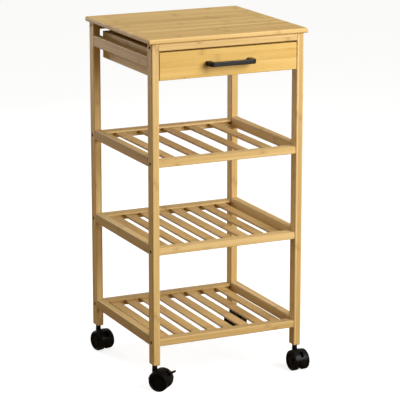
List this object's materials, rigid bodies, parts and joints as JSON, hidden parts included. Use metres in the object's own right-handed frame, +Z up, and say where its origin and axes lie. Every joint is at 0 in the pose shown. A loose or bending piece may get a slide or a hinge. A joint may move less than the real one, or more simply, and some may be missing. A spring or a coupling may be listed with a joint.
{
  "type": "rolling utility cart",
  "caption": "Narrow bamboo kitchen cart with a top board, a drawer, open slatted shelves and swivelling twin-wheel casters.",
  "frame": {"origin": "on the floor, below the middle of the whole cart's bounding box", "axes": "+Z up; the drawer opens towards -Y (the front); +X is the right side seen from the front"},
  "size_m": [0.3814, 0.3722, 0.76],
  "materials": {
    "bamboo_board": "satin lacquered bamboo",
    "bamboo_frame": "satin lacquered bamboo",
    "bamboo_slats": "satin lacquered bamboo",
    "bamboo_drawer": "satin lacquered bamboo",
    "plywood_panel": "plain thin panel",
    "handle_black": "matte black coating",
    "black_steel": "blackened steel",
    "zinc_steel": "zinc plated",
    "caster_plastic": "moulded black nylon",
    "wheel_plastic": "moulded black nylon, semi-matte"
  },
  "bodies": {
    "frame": {"top_board": "bamboo_board", "leg_front_left": "bamboo_frame", "leg_front_right": "bamboo_frame", "leg_back_left": "bamboo_frame", "leg_back_right": "bamboo_frame", "top_front_rail": "bamboo_frame", "top_back_rail": "bamboo_frame", "drawer_rail_left": "bamboo_frame", "drawer_runner_left": "bamboo_frame", "drawer_rail_right": "bamboo_frame", "drawer_runner_right": "bamboo_frame", "bottom_shelf_front_rail": "bamboo_frame", "bottom_shelf_back_rail": "bamboo_frame", "bottom_shelf_left_rail": "bamboo_frame", "bottom_shelf_right_rail": "bamboo_frame", "bottom_shelf_slats": "bamboo_slats", "middle_shelf_front_rail": "bamboo_frame", "middle_shelf_back_rail": "bamboo_frame", "middle_shelf_left_rail": "bamboo_frame", "middle_shelf_right_rail": "bamboo_frame", "middle_shelf_slats": "bamboo_slats", "top_shelf_front_rail": "bamboo_frame", "top_shelf_back_rail": "bamboo_frame", "top_shelf_left_rail": "bamboo_frame", "top_shelf_right_rail": "bamboo_frame", "top_shelf_slats": "bamboo_slats", "frame_bolts": "black_steel", "barrel_nuts": "zinc_steel", "board_screws": "zinc_steel", "runner_screws": "zinc_steel", "front_left_caster_stem": "black_steel", "front_right_caster_stem": "black_steel", "back_left_caster_stem": "black_steel", "back_right_caster_stem": "black_steel", "caster_sleeves": "caster_plastic"},
    "drawer": {"drawer_front": "bamboo_drawer", "drawer_side_left": "bamboo_drawer", "drawer_side_right": "bamboo_drawer", "drawer_back": "bamboo_drawer", "drawer_bottom": "plywood_panel", "drawer_handle": "handle_black", "handle_screws": "zinc_steel"},
    "front_left_caster": {"front_left_caster_hood": "caster_plastic", "front_left_caster_axle": "zinc_steel"},
    "front_left_wheel_left": {"front_left_caster_wheel_left": "wheel_plastic"},
    "front_left_wheel_right": {"front_left_caster_wheel_right": "wheel_plastic"},
    "front_left_brake": {"front_left_caster_brake_lever": "caster_plastic"},
    "front_right_caster": {"front_right_caster_hood": "caster_plastic", "front_right_caster_axle": "zinc_steel"},
    "front_right_wheel_left": {"front_right_caster_wheel_left": "wheel_plastic"},
    "front_right_wheel_right": {"front_right_caster_wheel_right": "wheel_plastic"},
    "back_left_caster": {"back_left_caster_hood": "caster_plastic", "back_left_caster_axle": "zinc_steel"},
    "back_left_wheel_left": {"back_left_caster_wheel_left": "wheel_plastic"},
    "back_left_wheel_right": {"back_left_caster_wheel_right": "wheel_plastic"},
    "back_right_caster": {"back_right_caster_hood": "caster_plastic", "back_right_caster_axle": "zinc_steel"},
    "back_right_wheel_left": {"back_right_caster_wheel_left": "wheel_plastic"},
    "back_right_wheel_right": {"back_right_caster_wheel_right": "wheel_plastic"},
    "back_right_brake": {"back_right_caster_brake_lever": "caster_plastic"}
  },
  "joints": [
    {"name": "drawer_slide", "type": "slide", "parent": "frame", "child": "drawer", "axis": [0, -1, 0], "range_m": [0, 0.22]},
    {"name": "front_left_swivel", "type": "hinge", "parent": "frame", "child": "front_left_caster", "pos_m": [-0.17123, -0.14719, 0.0465], "axis": [0, 0, 1], "continuous": true},
    {"name": "front_left_spin_left", "type": "hinge", "parent": "front_left_caster", "child": "front_left_wheel_left", "pos_m": [-0.16153, -0.15797, 0.022], "axis": [0.7431, 0.6691, 0], "continuous": true},
    {"name": "front_left_spin_right", "type": "hinge", "parent": "front_left_caster", "child": "front_left_wheel_right", "pos_m": [-0.16153, -0.15797, 0.022], "axis": [0.7431, 0.6691, 0], "continuous": true},
    {"name": "front_left_brake_press", "type": "hinge", "parent": "front_left_caster", "child": "front_left_brake", "pos_m": [-0.15588, -0.16424, 0.035], "axis": [0.7431, 0.6691, 0], "range_deg": [0, 18]},
    {"name": "front_right_swivel", "type": "hinge", "parent": "frame", "child": "front_right_caster", "pos_m": [0.16627, -0.14719, 0.0465], "axis": [0, 0, 1], "continuous": true},
    {"name": "front_right_spin_left", "type": "hinge", "parent": "front_right_caster", "child": "front_right_wheel_left", "pos_m": [0.16703, -0.16168, 0.022], "axis": [0.9986, 0.0523, 0], "continuous": true},
    {"name": "front_right_spin_right", "type": "hinge", "parent": "front_right_caster", "child": "front_right_wheel_right", "pos_m": [0.16703, -0.16168, 0.022], "axis": [0.9986, 0.0523, 0], "continuous": true},
    {"name": "back_left_swivel", "type": "hinge", "parent": "frame", "child": "back_left_caster", "pos_m": [-0.17123, 0.16931, 0.0465], "axis": [0, 0, 1], "continuous": true},
    {"name": "back_left_spin_left", "type": "hinge", "parent": "back_left_caster", "child": "back_left_wheel_left", "pos_m": [-0.16748, 0.1553, 0.022], "axis": [0.9659, 0.2588, 0], "continuous": true},
    {"name": "back_left_spin_right", "type": "hinge", "parent": "back_left_caster", "child": "back_left_wheel_right", "pos_m": [-0.16748, 0.1553, 0.022], "axis": [0.9659, 0.2588, 0], "continuous": true},
    {"name": "back_right_swivel", "type": "hinge", "parent": "frame", "child": "back_right_caster", "pos_m": [0.16627, 0.16931, 0.0465], "axis": [0, 0, 1], "continuous": true},
    {"name": "back_right_spin_left", "type": "hinge", "parent": "back_right_caster", "child": "back_right_wheel_left", "pos_m": [0.16878, 0.15503, 0.022], "axis": [0.9848, 0.1736, 0], "continuous": true},
    {"name": "back_right_spin_right", "type": "hinge", "parent": "back_right_caster", "child": "back_right_wheel_right", "pos_m": [0.16878, 0.15503, 0.022], "axis": [0.9848, 0.1736, 0], "continuous": true},
    {"name": "back_right_brake_press", "type": "hinge", "parent": "back_right_caster", "child": "back_right_brake", "pos_m": [0.17025, 0.14671, 0.035], "axis": [0.9848, 0.1736, 0], "range_deg": [0, 18]}
  ]
}
